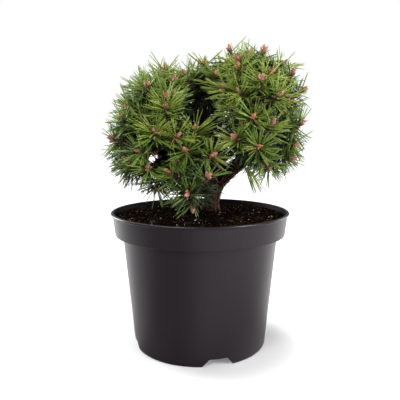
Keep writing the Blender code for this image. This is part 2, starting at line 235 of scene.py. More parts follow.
pot = dict(
    height=0.145, wall=0.0016, footRadius=0.0715, footRounding=0.0020,
    bodyTopRadius=0.0829, bandFoot=0.1216, bandFootRadius=0.0908, bandTopRadius=0.0934,
    lipRadius=0.0950, lipHeight=0.0024, sides=192,
    channels=4, firstChannel=-75.3, channelHeight=0.0085, channelFoot=0.0330, channelRoof=0.0195,
    channelInner=0.0460, channelCorner=0.0010, drainRadius=0.0030, overcut=0.005,
    edge=0.0005, creaseAngle=32.0,
    colour=(0.0072, 0.0028, 0.0060), roughness=0.28, gloss=1.50, dust=(0.12, 0.10, 0.085),
    insideRoughness=0.60, insideSheen=0.10, stain=(0.020, 0.013, 0.009),
)


def turnedMesh(profile, sides):  # a closed solid of revolution: the profile runs from axis to axis
    bm = bmesh.new()
    verts = [bm.verts.new((r, 0.0, z)) for r, z in profile]
    edges = [bm.edges.new(pair) for pair in zip(verts, verts[1:])]
    bmesh.ops.spin(bm, geom=verts + edges, cent=(0, 0, 0), axis=(0, 0, 1), angle=math.tau,
                   steps=sides, use_merge=True)
    bmesh.ops.remove_doubles(bm, verts=bm.verts, dist=1e-6)
    bmesh.ops.recalc_face_normals(bm, faces=bm.faces)
    return bm


def roundedLine(points, radius, steps=4):  # the profile's inner corners become short arcs
    line = [points[0]]
    for before, corner, after in zip(points, points[1:], points[2:]):
        a, c, b = Vector(before), Vector(corner), Vector(after)
        cut = min(radius, (a - c).length * 0.4, (b - c).length * 0.4)
        start = c + (a - c).normalized() * cut
        end = c + (b - c).normalized() * cut
        for i in range(steps + 1):
            t = i / steps
            line.append(tuple(start * (1 - t) ** 2 + c * 2 * t * (1 - t) + end * t**2))
    return line + [points[-1]]


def potProfiles():
    p = pot
    outer = [
        (0.0, 0.0),
        (p["footRadius"] - p["footRounding"] * 0.6, 0.0),
        (p["footRadius"], p["footRounding"]),
        (p["bodyTopRadius"], p["bandFoot"]),
        (p["bandFootRadius"], p["bandFoot"]),
        (p["bandTopRadius"], p["height"] - p["lipHeight"]),
        (p["lipRadius"], p["height"] - p["lipHeight"] * 0.8),
        (p["lipRadius"], p["height"]),
        (0.0, p["height"]),
    ]
    shoulder = p["bandFoot"] + p["wall"]
    inner = [
        (0.0, p["wall"]),
        (p["footRadius"] - p["wall"], p["wall"]),
        (p["bodyTopRadius"] - p["wall"], shoulder),
        (p["bandFootRadius"] - p["wall"], shoulder),
        (p["bandTopRadius"] - p["wall"], p["height"]),
        (p["bandTopRadius"] - p["wall"], p["height"] + p["overcut"]),
        (0.0, p["height"] + p["overcut"]),
    ]
    return roundedLine(outer, p["edge"] * 1.6), roundedLine(inner, p["edge"])


def channelTurns():
    step = 360.0 / pot["channels"]
    return [math.radians(pot["firstChannel"] + step * i) for i in range(pot["channels"])]


def channelCutter(swell):  # the space of each drain channel, a wedge-sided block along a radius
    p = pot
    whole = bmesh.new()
    length = p["lipRadius"] - p["channelInner"] + swell
    middle = (p["lipRadius"] + p["channelInner"] - swell) / 2
    widening = (p["channelFoot"] - p["channelRoof"]) * p["overcut"] / p["channelHeight"]
    for turn in channelTurns():
        block = bmesh.ops.create_cube(whole, size=1.0)["verts"]
        for v in block:
            top = v.co.z > 0
            width = p["channelRoof"] if top else p["channelFoot"] + widening
            v.co = (middle + v.co.x * length, v.co.y * (width + 2 * swell),
                    p["channelHeight"] + swell if top else -p["overcut"])
        edges = {e for v in block for e in v.link_edges}
        roof = [e for e in edges if min(v.co.z for v in e.verts) > 0]
        rounded = bmesh.ops.bevel(whole, geom=roof, offset=p["channelCorner"], offset_type="OFFSET",
                                  segments=4, profile=0.5, affect="EDGES", material=-1)
        block = list({v for v in block if v.is_valid} | set(rounded["verts"]))
        bmesh.ops.rotate(whole, verts=block, matrix=Matrix.Rotation(turn, 3, "Z"))
    bmesh.ops.recalc_face_normals(whole, faces=whole.faces)
    return whole


def drainCutter():
    p = pot
    whole = bmesh.new()
    for turn in channelTurns():
        reach = Matrix.Translation((p["channelInner"], 0, p["channelHeight"] / 2))
        place = Matrix.Rotation(turn, 4, "Z") @ reach @ Matrix.Rotation(math.pi / 2, 4, "Y")
        bmesh.ops.create_cone(whole, cap_ends=True, segments=24, radius1=p["drainRadius"],
                              radius2=p["drainRadius"], depth=4 * p["wall"], matrix=place)
    return whole


def cutAway(piece, *cutters):
    for bm in cutters:
        cutter = placed("cutter", meshFrom(bm, "cutter"))
        cut = piece.modifiers.new("cut", "BOOLEAN")
        cut.operation = "DIFFERENCE"
        cut.solver = "EXACT"
        cut.object = cutter
        mesh = finished(piece)
        piece.modifiers.clear()
        piece.data = mesh
        bpy.data.objects.remove(cutter)


def potFinish():
    s = Shader("satinBlackPlastic", Roughness=pot["roughness"], IOR=pot["gloss"])
    cloud = s.speckle(38.0, detail=4.0, rough=0.6, stretch=(1.0, 1.0, 0.35))
    fine = s.speckle(1500.0, detail=2.0)
    scuff = s.step(s.speckle(160.0, detail=5.0, stretch=(1.0, 1.0, 4.0)), 0.60, 0.78)
    dust = s.step(s.speckle(900.0, detail=4.0, rough=0.7), 0.66, 0.74)
    plain = s.blend(cloud, pot["colour"], scaled(pot["colour"], 1.25))
    s.set(Base_Color=s.blend(dust * 0.10, plain, pot["dust"]))
    s.set(Roughness=pot["roughness"] + cloud * 0.06 + scuff * 0.05)
    s.set(Normal=s.bump(fine, 0.00002, 0.5, below=s.bump(cloud, 0.00020, 0.35)))
    return s.material


# The inside of the pot: the same plastic, rougher and less shiny, partly dust and partly painted shade so
# that it stays dark; with soil stains
def insideFinish():
    s = Shader("dullBlackInside", Roughness=pot["insideRoughness"], Specular_IOR_Level=pot["insideSheen"])
    stain = s.step(s.speckle(300.0, detail=5.0, stretch=(1.0, 1.0, 0.4)), 0.50, 0.75)
    s.set(Base_Color=s.blend(stain * 0.3, pot["colour"], pot["stain"]))
    s.set(Normal=s.bump(s.speckle(700.0, detail=3.0), 0.0001, 0.4))
    return s.material


def makePot():
    outer, inner = potProfiles()
    inside = placed("inside", meshFrom(turnedMesh(inner, pot["sides"]), "inside"))
    cutAway(inside, channelCutter(pot["wall"]))
    hollow = bmesh.new()
    hollow.from_mesh(inside.data)
    bpy.data.objects.remove(inside)
    body = meshFrom(turnedMesh(outer, pot["sides"]), "potShell")
    piece = addPiece("pot_shell", body, "pot", potFinish(), insideFinish())
    cutAway(piece, hollow, channelCutter(0.0), drainCutter())
    piece.data.name = "pot_shell"
    # Inward faces above the channels take the inside finish with its painted shade
    for face in piece.data.polygons:
        centre = face.center
        outward = Vector((centre.x, centre.y, 0)).dot(face.normal)
        distance = math.hypot(centre.x, centre.y)
        within = distance < wallRadius(centre.z) + pot["edge"] and centre.z > pot["channelHeight"]
        face.material_index = 1 if within and outward < 0 else 0
    piece.data.set_sharp_from_angle(angle=math.radians(pot["creaseAngle"]))
    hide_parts("pot")
    print("pot", len(piece.data.polygons), "faces")


# The plan of the plant: limbs, and the shoots that each mass of foliage carries

plan = dict(
    gap=0.0003, seed=11, soilTop=0.1435, soilEdge=0.1385, soilTopRadius=0.030,
    curveHold=0.4, leaveAlong=0.5, limbSamples=30,
    trunkFoot=Vector((0.011, 0.006, 0.1438)), trunkTip=Vector((0.058, 0.006, 0.204)),
    trunkTipWay=Vector((0.80, 0.0, 0.60)),
    trunkRadii=(0.0083, 0.0046), flare=0.0034, flareHeight=0.0060,
    boughRadius=0.0046, sideBoughRadius=0.0032, tipRadius=0.0020,
    stemLength=0.0080, whorlSpread=58.0, whorlJitter=8.0, twigLift=0.10, budLift=0.50,
    twigRadius=0.0013, twigSteps=2, twigShares=(1.0, 0.9, 0.8), twigSpacing=0.0005,
    core=((0.0170, 0.0034), (0.0115, 0.0043), (0.0060, 0.0040), (0.0010, 0.0028)),
    budLength=0.0050, budRadius=0.0005, stemSamples=(0.1, 0.4, 0.7, 1.0), twigSamples=(0.0, 0.33, 0.67),
)

hearts = {
    "left": Vector((-0.035, 0.005, 0.205)),
    "middle": Vector((0.005, 0.005, 0.205)),
    "right": Vector((0.050, 0.005, 0.228)),
}

# Each mass: its part of the crown, parent limb and where along it, leading bud, reach, shoots and turn
masses = (
    ("right_top", "right", "trunk", 1.00, (0.062, -0.030, 0.308), 0.030, 5, 0),
    ("right_edge", "right", "right_top", 0.30, (0.104, -0.015, 0.238), 0.030, 5, 20),
    ("right_low", "right", "trunk", 0.66, (0.055, -0.066, 0.216), 0.026, 4, 40),
    ("right_back", "right", "trunk", 0.62, (0.072, 0.066, 0.222), 0.034, 6, 0),
    ("crest", "middle", "trunk", 0.48, (0.005, -0.010, 0.298), 0.030, 5, 60),
    ("back", "middle", "trunk", 0.40, (0.008, 0.075, 0.212), 0.034, 6, 0),
    ("left_top", "left", "trunk", 0.34, (-0.036, -0.008, 0.292), 0.030, 5, 60),
    ("left_side", "left", "trunk", 0.24, (-0.088, 0.000, 0.212), 0.030, 6, 45),
    ("left_middle", "left", "trunk", 0.30, (-0.043, -0.062, 0.230), 0.026, 4, 100),
    ("left_back", "left", "trunk", 0.22, (-0.080, 0.042, 0.232), 0.032, 5, 0),
    ("front_low", "middle", "trunk", 0.20, (-0.012, -0.062, 0.170), 0.026, 4, 300),
    ("top", "right", "right_top", 0.62, (0.030, -0.006, 0.313), 0.028, 4, 200),
    ("right_face", "right", "right_top", 0.45, (0.037, -0.042, 0.290), 0.028, 4, 210),
    ("right_shoulder", "right", "right_top", 0.30, (0.090, -0.031, 0.286), 0.030, 5, 30),
    ("right_front", "right", "right_top", 0.25, (0.058, -0.058, 0.278), 0.026, 4, 250),
    ("right_crown_back", "right", "right_top", 0.40, (0.048, 0.042, 0.298), 0.034, 6, 45),
    ("right_middle", "right", "right_low", 0.45, (0.050, -0.062, 0.243), 0.026, 4, 60),
    ("right_skirt", "right", "right_edge", 0.40, (0.092, -0.022, 0.203), 0.028, 4, 100),
    ("right_rear", "right", "right_back", 0.45, (0.090, 0.045, 0.266), 0.034, 6, 0),
    ("front_centre", "middle", "left_middle", 0.30, (-0.014, -0.055, 0.212), 0.028, 5, 15),
    ("crest_back", "middle", "crest", 0.50, (0.002, 0.060, 0.265), 0.034, 6, 0),
    ("left_shoulder", "left", "left_top", 0.50, (-0.051, -0.045, 0.273), 0.026, 4, 230),
    ("left_front", "left", "left_middle", 0.55, (-0.032, -0.060, 0.253), 0.028, 4, 20),
    ("left_edge", "left", "left_side", 0.55, (-0.075, -0.045, 0.243), 0.028, 4, 100),
    ("left_skirt", "left", "left_side", 0.42, (-0.050, -0.050, 0.195), 0.030, 5, 0),
    ("left_crown_back", "left", "left_top", 0.55, (-0.048, 0.038, 0.280), 0.034, 6, 0),
    ("left_low_back", "left", "left_back", 0.50, (-0.048, 0.062, 0.200), 0.032, 5, 0),
)


def bend(start, startWay, end, endWay, share):  # leaves start one way and reaches end the other way
    hold = (end - start).length * plan["curveHold"]
    a = start + startWay * hold
    b = end - endWay * hold
    rest = 1 - share
    return start * rest**3 + a * 3 * rest**2 * share + b * 3 * rest * share**2 + end * share**3


class Limb:  # the trunk or a bough
    def __init__(self, name, start, startWay, end, endWay, radii):
        self.name = name
        self.ends = (start, startWay, end, endWay)
        self.radii = radii

    def at(self, share):
        return bend(*self.ends, share)

    def way(self, share):
        if share <= 0:
            return self.ends[1]
        if share >= 1:
            return self.ends[3]
        near = 1 / plan["limbSamples"] / 2
        return (self.at(share + near) - self.at(share - near)).normalized()

    def radius(self, share):
        root, tip = self.radii
        flare = 0.0
        if self.name == "trunk":
            above = self.at(share).z - plan["trunkFoot"].z
            flare = plan["flare"] * math.exp(-above / plan["flareHeight"])
        return root + (tip - root) * share + flare

    def lines(self):
        steps = plan["limbSamples"]
        return [(self.at(i / steps), self.radius(i / steps)) for i in range(steps + 1)]


class Room:  # places with radii, and how far a point is from their surfaces
    def __init__(self, lines):
        self.places = np.array([place for place, _ in lines])
        self.radii = np.array([radius for _, radius in lines])

    def distance(self, point):
        return float((np.linalg.norm(self.places - np.array(point), axis=1) - self.radii).min())


class Mass:  # one mass of foliage: a stem that forks into a leading twig and a whorl
    def __init__(self, name, heart, parent, share, lead, reach, count, turn):
        self.name = name
        self.heart = heart
        self.parent = parent
        self.share = share
        self.lead = Vector(lead)
        self.way = (self.lead - hearts[heart]).normalized()
        self.reach = reach
        self.fork = self.lead - self.way * reach
        self.root = self.fork - self.way * plan["stemLength"]
        self.dice = random.Random(f"{plan['seed']} {name}")
        self.twigWays = self.whorl(count, math.radians(turn))
        self.shoots = []

    def whorl(self, count, turn):
        up = Vector((0, 0, 1)) - self.way * self.way.z
        up.normalize()
        right = up.cross(self.way)
        ways = [self.way]
        for i in range(count - 1):
            angle = turn + math.tau * i / (count - 1)
            jitter = self.dice.uniform(-plan["whorlJitter"], plan["whorlJitter"])
            spread = math.radians(plan["whorlSpread"] + jitter)
            out = up * math.cos(angle) + right * math.sin(angle)
            way = self.way * math.cos(spread) + out * math.sin(spread)
            ways.append((way + Vector((0, 0, plan["twigLift"]))).normalized())
        return ways

    def lines(self):
        found = [(self.root.lerp(self.fork, share), plan["tipRadius"]) for share in plan["stemSamples"]]
        for shoot in self.shoots:
            found += shoot.lines()
        return found


class Shoot:  # a twig from its mass's fork, and the bud that ends it
    def __init__(self, mass, twigWay, reach):
        self.bud = mass.fork + twigWay * reach
        self.way = (twigWay + Vector((0, 0, plan["budLift"]))).normalized()
        self.core = [self.bud - self.way * back for back, _ in plan["core"]]
        start = mass.fork - mass.way * plan["twigRadius"]
        end = self.core[0] - self.way * plan["twigRadius"]
        self.ends = (start, twigWay, end, self.way)
        self.twig = [self.along(i / plan["twigSteps"]) for i in range(plan["twigSteps"] + 1)]

    def along(self, share):
        return bend(*self.ends, share)

    def lines(self):
        stations = [(place, plan["twigRadius"]) for place in self.twig[1:]]
        stations += [(place, radius) for place, (_, radius) in zip(self.core, plan["core"])]
        stations.append((self.bud + self.way * plan["budLength"], plan["budRadius"]))
        found = []
        for (a, low), (b, high) in zip(stations, stations[1:]):
            found += [(a.lerp(b, share), max(low, high)) for share in plan["twigSamples"]]
        return found

    def spine(self, steps=24):  # points from the fork to the bud
        line = [self.along(i / steps) for i in range(steps + 1)]
        return line + [self.core[0].lerp(self.bud, i / steps) for i in range(steps + 1)]


def wallRadius(height):  # of the pot's inside
    shoulder = pot["bandFoot"] + pot["wall"]
    if height < shoulder:
        low, high, share = pot["footRadius"], pot["bodyTopRadius"], height / shoulder
    else:
        low, high = pot["bandFootRadius"], pot["bandTopRadius"]
        share = (height - shoulder) / (pot["height"] - shoulder)
    return low + (high - low) * share - pot["wall"]


def potClearance(point):
    if point.z > pot["height"] + plan["gap"]:
        return point.z - pot["height"]
    distance = math.hypot(point.x, point.y)
    if distance > pot["lipRadius"]:
        return distance - pot["lipRadius"]
    return min(wallRadius(point.z) - distance, point.z - plan["soilTop"])


def planLimbs(clumps):
    up = Vector((0, 0, 1))
    trunk = Limb("trunk", plan["trunkFoot"], up, plan["trunkTip"], plan["trunkTipWay"], plan["trunkRadii"])
    limbs = {"trunk": trunk}
    for mass in clumps:
        parent = limbs[mass.parent]
        start = parent.at(mass.share)
        onward = parent.way(mass.share) * plan["leaveAlong"]
        leave = (onward + (mass.root - start).normalized()).normalized()
        root = plan["boughRadius"] if mass.parent == "trunk" else plan["sideBoughRadius"]
        limbs[mass.name] = Limb(mass.name, start, leave, mass.root, mass.way, (root, plan["tipRadius"]))
    return list(limbs.values())


def planShoots(clumps, limbs):  # leading shoots first, then the whorls; a twig with no room is left out
    limbRoom = Room([line for limb in limbs for line in limb.lines()])
    for leading in (True, False):
        for mass in clumps:
            others = Room([line for other in clumps if other is not mass for line in other.lines()])
            for way in mass.twigWays[:1] if leading else mass.twigWays[1:]:
                for share in plan["twigShares"]:
                    shoot = Shoot(mass, way, mass.reach * share)
                    if all(
                        others.distance(place) > radius + plan["twigSpacing"]
                        and limbRoom.distance(place) > radius + plan["gap"]
                        and potClearance(place) > radius + plan["gap"]
                        for place, radius in shoot.lines()
                    ):
                        mass.shoots.append(shoot)
                        break


clumps = [Mass(*row) for row in masses]
limbs = planLimbs(clumps)
planShoots(clumps, limbs)
shoots = [shoot for mass in clumps for shoot in mass.shoots]
print("plan", len(limbs), "limbs", len(shoots), "shoots")


# Trunk and boughs: swept limbs, fused and given the bark's relief

bark = dict(
    voxel=0.00075, smoothing=3, steps=40, collar=1.35, collarReach=0.10, sunk=0.0015, footSpread=1.04,
    plateSize=0.0042, plateLength=0.55, plateDepth=0.00055, plateLevel=0.6, crackWidth=2.6,
    grainSize=0.0012, grainDepth=0.00022, roughness=0.85, sheen=0.10,
    dark=(0.0040, 0.0024, 0.0018), red=(0.048, 0.021, 0.012), grey=(0.090, 0.058, 0.040),
)


def sweptMesh(name, lines, resolution):  # each line is a list of points and radii
    curve = bpy.data.curves.new(name, "CURVE")
    curve.dimensions = "3D"
    curve.bevel_depth = 1.0
    curve.bevel_resolution = resolution
    curve.use_fill_caps = True
    for line in lines:
        spline = curve.splines.new("POLY")
        spline.points.add(len(line) - 1)
        for point, (place, radius) in zip(spline.points, line):
            point.co = (*place, 1.0)
            point.radius = radius
    guide = placed(name, curve)
    mesh = finished(guide)
    bpy.data.objects.remove(guide)
    return mesh


def limbLine(limb):
    line = []
    for i in range(bark["steps"] + 1):
        share = i / bark["steps"]
        radius = limb.radius(share)
        if limb.name != "trunk":
            radius *= 1 + (bark["collar"] - 1) * math.exp(-share / bark["collarReach"])
        line.append((limb.at(share), radius))
    if limb.name == "trunk":
        place, radius = line[0]
        line.insert(0, (place - Vector((0, 0, bark["sunk"])), radius * bark["footSpread"]))
    return line


def fused(mesh, name):  # one skin over all the swept limbs
    piece = placed(name, mesh)
    skin = piece.modifiers.new("skin", "REMESH")
    skin.mode = "VOXEL"
    skin.voxel_size = bark["voxel"]
    skin.adaptivity = 0.0
    soft = piece.modifiers.new("soft", "SMOOTH")
    soft.factor = 0.6
    soft.iterations = bark["smoothing"]
    made = finished(piece)
    bpy.data.objects.remove(piece)
    return made


def barkRelief(mesh):  # plates with cracks between them, and fine grain
    moved = []
    for v in mesh.vertices:
        spot = v.co.copy()
        spot.z *= bark["plateLength"]
        near, _ = noise.voronoi(spot / bark["plateSize"])
        plate = min(1.0, (near[1] - near[0]) * bark["crackWidth"])
        grain = noise.fractal(v.co / bark["grainSize"], 1.0, 2.0, 3)
        lift = (plate - bark["plateLevel"]) * bark["plateDepth"] + grain * bark["grainDepth"]
        moved.append(v.co + v.normal * lift)
    for v, place in zip(mesh.vertices, moved):
        v.co = place
    mesh.update()


def barkFinish():
    s = Shader("scalyBark", Roughness=bark["roughness"], Specular_IOR_Level=bark["sheen"])
    plates = s.speckle(260.0, detail=5.0, rough=0.65, stretch=(1.0, 1.0, 0.5))
    flecks = s.step(s.speckle(900.0, detail=4.0, rough=0.7), 0.52, 0.70)
    cracks = s.step(s.cracks(330.0, (1.0, 1.0, 0.55)), 0.0, 0.16)
    body = s.ramp(plates, (0.34, bark["dark"]), (0.50, bark["red"]), (0.68, bark["grey"]))
    worn = s.blend(flecks * 0.45, body, bark["grey"])
    s.set(Base_Color=s.blend(cracks, bark["dark"], worn))
    s.set(Roughness=bark["roughness"] - flecks * 0.12)
    grain = s.bump(s.speckle(2400.0, detail=4.0, rough=0.7), 0.00025, 0.8)
    s.set(Normal=s.bump(cracks * 0.6 + plates, 0.0006, 0.8, below=grain))
    return s.material


def makeBark():
    mesh = fused(sweptMesh("limbs", [limbLine(limb) for limb in limbs], 4), "bark")
    mesh.name = "trunk_and_boughs"
    barkRelief(mesh)
    piece = addPiece("trunk_and_boughs", mesh, "bark", barkFinish())
    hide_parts("trunk", *("bough_" + mass.name for mass in clumps))
    print("bark", len(mesh.polygons), "faces")


# Twigs: rough brown shoots that grow on from the boughs

twig = dict(
    radius=0.00125, tip=0.0011, stem=0.0020, stemTaper=0.85, stemSteps=10, overlap=0.003, pegDepth=0.28,
    brown=(0.105, 0.048, 0.020), pale=(0.230, 0.130, 0.065), roughness=0.75,
)


def roughLine(points, low, high, dice):  # old needle bases make a twig knobbly
    last = len(points) - 1
    line = []
    for i, place in enumerate(points):
        radius = low + (high - low) * i / last
        line.append((place, radius * (1 + dice.uniform(-twig["pegDepth"], twig["pegDepth"]))))
    return line


def makeTwigs():
    dice = random.Random(3)
    lines = []
    for mass in clumps:
        back = mass.root - mass.way * twig["overlap"]
        stem = [back.lerp(mass.fork, i / twig["stemSteps"]) for i in range(twig["stemSteps"] + 1)]
        lines.append(roughLine(stem, twig["stem"], twig["stem"] * twig["stemTaper"], dice))
    for shoot in shoots:
        lines.append(roughLine(shoot.spine(), twig["radius"], twig["tip"], dice))
    mesh = sweptMesh("twigs", lines, 1)
    finish = mottled("brownTwig", (700.0, 4.0, 0.6), ((0.36, twig["brown"]), (0.62, twig["pale"])),
                     (1800.0, 3.0, 0.5, 0.0003, 0.7), Roughness=twig["roughness"])
    addPiece("twigs", mesh, "bark", finish)
    print("twigs", len(mesh.polygons), "faces")


# Dry strands that cling along the trunk on its open side

strand = dict(
    count=34, start=(0.0, 0.75), reach=(0.10, 0.34), steps=12, turns=(-1.9, 0.7), twist=0.8,
    off=0.0002, stray=0.0042, radius=(0.00016, 0.00034), root=1.1, taper=0.6,
    dark=(0.050, 0.022, 0.013), red=(0.230, 0.100, 0.050), roughness=0.8,
)


def makeStrands():
    dice = random.Random(17)
    trunk = limbs[0]
    lines = []
    for i in range(strand["count"]):
        low, reach = dice.uniform(*strand["start"]), dice.uniform(*strand["reach"])
        turn, twist = dice.uniform(*strand["turns"]), dice.uniform(-1, 1) * strand["twist"]
        stray = strand["stray"] * dice.random() ** 2
        radius = dice.uniform(*strand["radius"])
        line = []
        for k in range(strand["steps"] + 1):
            t = k / strand["steps"]
            share = min(1.0, low + reach * t)
            way = trunk.way(share)
            side = Vector((math.cos(turn + twist * t), math.sin(turn + twist * t), 0.0))
            side = (side - way * side.dot(way)).normalized()
            lift = trunk.radius(share) + strand["off"] + stray * t * t
            line.append((trunk.at(share) + side * lift, radius * (strand["root"] - strand["taper"] * t)))
        lines.append(line)
    mesh = sweptMesh("trunk_strands", lines, 0)
    finish = mottled("dryStrand", (300.0, 2.0), ((0.38, strand["dark"]), (0.60, strand["red"])),
                     Roughness=strand["roughness"])
    addPiece("trunk_strands", mesh, "bark", finish)
    print("strands", len(mesh.polygons), "faces")


# Needles: in pairs, set in a spiral up each twig

needle = dict(
    length=0.0242, varies=(0.80, 1.08), halfWidth=0.00070, halfDepth=0.00042, sunk=0.7,
    pairAngle=4.5, pairVaries=(0.5, 1.5), golden=137.5, turnJitter=14.0, tiltTop=44.0, tiltLow=86.0,
    tiltJitter=5.0, curve=0.030, bowUp=(-0.2, 0.9), bowOut=(0.2, 1.0), twinVaries=(0.95, 1.0),
    pairs=34, packing=1.15, first=0.0006, freshReach=0.0115, shaded=0.50, strawYoung=0.012,
    oldPairs=36, innerShare=0.8, strawOld=0.04, ahead=0.002,
    boughPairs=60, bareRight=0.45, bareLeft=0.12, boughTilts=(60, 85), boughLengths=(0.6, 0.9),
    stations=(0.0, 0.50, 0.88), taper=(0.80, 1.0, 0.72), angles=(90, 210, 330), roughness=0.42,
    margin=0.012, lipRoom=0.0008, wallRoom=0.0030, soilRoom=0.0015, ragged=(0.40, 1.25),
    fringeShare=0.50, fringeEnd=1.26,  # how many stand beyond the main forms, and how far out at most
)

# The tints of the sprays, with painted light and shade: from young needles facing the light to old needles in
# the shade inside the crown
tints = {
    "fresh": (0.255, 0.335, 0.048),
    "bright": (0.178, 0.268, 0.037),
    "mid": (0.104, 0.176, 0.026),
    "deep": (0.028, 0.052, 0.009),
    "inner": (0.007, 0.012, 0.004),
    "hanging": (0.170, 0.240, 0.038),
    "straw": (0.340, 0.215, 0.070),
}
# Painted shade: the needles further back from the bud on each shoot take the next darker tint
darker = {"fresh": "bright", "bright": "mid", "mid": "deep"}

# The share of needles kept beyond the crown's main forms, where it isn't needle["fringeShare"]
fringe = {"inner": 0.0, "deep": 0.20, "straw": 0.30, "hanging": 1.0}

# Long needles that hang below the crown
hanging = dict(
    place=np.array((0.0455, -0.050, 0.1935)), aim=np.array((0.38, 0.0, -0.92)), scatter=0.0018,
    pairs=7, spread=(2, 17), lengths=(0.022, 0.031),
)

# The crown's main forms, each a centre and its radii: fewer needles stand out beyond them
lobes = (
    (Vector((-0.018, -0.01, 0.178)), Vector((0.044, 0.080, 0.034))),
    (Vector((-0.043, 0.0, 0.236)), Vector((0.053, 0.088, 0.065))),
    (Vector((-0.060, 0.0, 0.200)), Vector((0.041, 0.085, 0.037))),
    (Vector((0.005, 0.0, 0.248)), Vector((0.042, 0.088, 0.056))),
    (Vector((0.053, 0.0, 0.250)), Vector((0.055, 0.088, 0.064))),
    (Vector((0.062, 0.0, 0.213)), Vector((0.050, 0.085, 0.040))),
)

# The crown is open along these lines of sight: a place on each and its radius
skyGaps = (
    (Vector((-0.0415, 0.0, 0.2025)), 0.0100),
    (Vector((-0.0510, 0.0, 0.2000)), 0.0062),
    (Vector((0.0040, 0.0, 0.2425)), 0.0036),
    (Vector((0.0043, 0.0, 0.1930)), 0.0030),
)

# Painted light: shoots that face the light get the palest tint, those turned away darker ones
paintedLight = dict(heart=Vector((0.005, 0.0, 0.215)), side=Vector((0.15, -0.62, 0.58)).normalized(),
              jitter=0.40, fresh=0.70, bright=0.05)


def shootTint(shoot, dice):
    outward = (shoot.bud - paintedLight["heart"]).normalized()
    light = outward.dot(paintedLight["side"]) + dice.uniform(-paintedLight["jitter"], paintedLight["jitter"])
    return "fresh" if light > paintedLight["fresh"] else "bright" if light > paintedLight["bright"] else "mid"


def needlePair(spot, axis, radius, turn, tilt, length, dice):  # its sheath's place, and a row for each needle
    side = np.cross(axis, (0.3, 0.5, 0.81))
    side /= np.linalg.norm(side)
    out = side * math.cos(turn) + np.cross(axis, side) * math.sin(turn)
    aim = axis * math.cos(tilt) + out * math.sin(tilt)
    ring = np.cross(axis, out)
    roll = dice.uniform(0, math.tau)
    flat = ring * math.cos(roll) + np.cross(aim, ring) * math.sin(roll)
    part = np.cross(aim, flat)
    root = spot + out * radius * needle["sunk"]
    lean = math.radians(needle["pairAngle"] * dice.uniform(*needle["pairVaries"]))
    rows = []
    for hand in (-1, 1):
        way = aim * math.cos(lean) + part * math.sin(lean) * hand
        bow = axis * dice.uniform(*needle["bowUp"]) - part * hand * dice.uniform(*needle["bowOut"])
        reach = length * dice.uniform(*needle["twinVaries"])
        rows.append((root, way, flat, part * hand, bow * needle["curve"] * length, reach))
    return (root, aim), rows


def needlePlan():  # for every needle its root, direction, side, bow, length and tint
    dice = random.Random(8)
    found = {tint: [] for tint in tints}
    sheaths = []

    def grow(tint, *pair):
        sheath, rows = needlePair(*pair, dice)
        sheaths.append(sheath)
        found[tint] += rows

    for shoot in shoots:
        tint = shootTint(shoot, dice)
        spine = np.array(shoot.spine())
        steps = np.linalg.norm(np.diff(spine, axis=0), axis=1)
        behind = np.concatenate([[0.0], np.cumsum(steps[::-1])])  # distances behind the bud
        line = spine[::-1]
        for i in range(needle["pairs"] + needle["oldPairs"]):
            young = i < needle["pairs"]
            if young:
                share = (i / needle["pairs"]) ** needle["packing"]
                back = needle["first"] + (needle["freshReach"] - needle["first"]) * share
                # Painted shade: needles further back from the bud take a darker tint
                mine = tint if i < needle["pairs"] * needle["shaded"] else darker[tint]
            else:
                share = (i - needle["pairs"] + dice.random()) / needle["oldPairs"]
                back = needle["freshReach"] + (behind[-1] - needle["freshReach"]) * share
                # Painted shade: old needles inside the crown are near black or dark green
                mine = "inner" if dice.random() < needle["innerShare"] else "deep"
            if dice.random() < needle["strawYoung" if young else "strawOld"]:
                mine = "straw"
            spot, ahead = (np.array([np.interp(place, behind, line[:, k]) for k in range(3)])
                           for place in (back, max(back - needle["ahead"], 0.0)))
            axis = unit(ahead - spot) if back > needle["ahead"] else np.array(shoot.way)
            tilt = needle["tiltTop"] + (needle["tiltLow"] - needle["tiltTop"]) * (share if young else 1.0)
            tilt = math.radians(tilt + dice.uniform(-needle["tiltJitter"], needle["tiltJitter"]))
            stray = dice.uniform(-needle["turnJitter"], needle["turnJitter"])
            turn = math.radians(needle["golden"] * i + stray)
            length = needle["length"] * dice.uniform(*needle["varies"])
            grow(mine, spot, axis, twig["tip"], turn, tilt, length)
    # Painted shade: the needles along the boughs, inside the crown, are near black
    for limb, mass in zip(limbs[1:], clumps):
        bare = needle["bareRight"] if mass.heart == "right" else needle["bareLeft"]
        for i in range(needle["boughPairs"]):
            share = dice.uniform(bare, 1.0)
            turn = math.radians(needle["golden"] * i)
            tilt = math.radians(dice.uniform(*needle["boughTilts"]))
            length = needle["length"] * dice.uniform(*needle["boughLengths"])
            spot, axis = np.array(limb.at(share)), np.array(limb.way(share))
            grow("inner", spot, axis, limb.radius(share), turn, tilt, length)
    for i in range(hanging["pairs"]):
        turn, tilt = math.radians(needle["golden"] * i), math.radians(dice.uniform(*hanging["spread"]))
        spot = hanging["place"] + np.array([dice.gauss(0, hanging["scatter"]) for _ in range(3)])
        length = dice.uniform(*hanging["lengths"])
        found["hanging"] += needlePair(spot, unit(hanging["aim"]), twig["tip"], turn, tilt, length, dice)[1]
    return found, sheaths


def clearOfPot(points):
    distance = np.hypot(points[:, 0], points[:, 1])
    share = np.clip((distance - plan["soilTopRadius"]) / (pot["bandTopRadius"] - plan["soilTopRadius"]), 0, 1)
    soil = plan["soilTop"] + (plan["soilEdge"] - plan["soilTop"]) * share
    above = points[:, 2] > pot["height"] + needle["lipRoom"]
    outside = distance > pot["lipRadius"] + needle["lipRoom"]
    inside = distance < pot["bandTopRadius"] - needle["wallRoom"]
    return above | outside | (inside & (points[:, 2] > soil + needle["soilRoom"]))


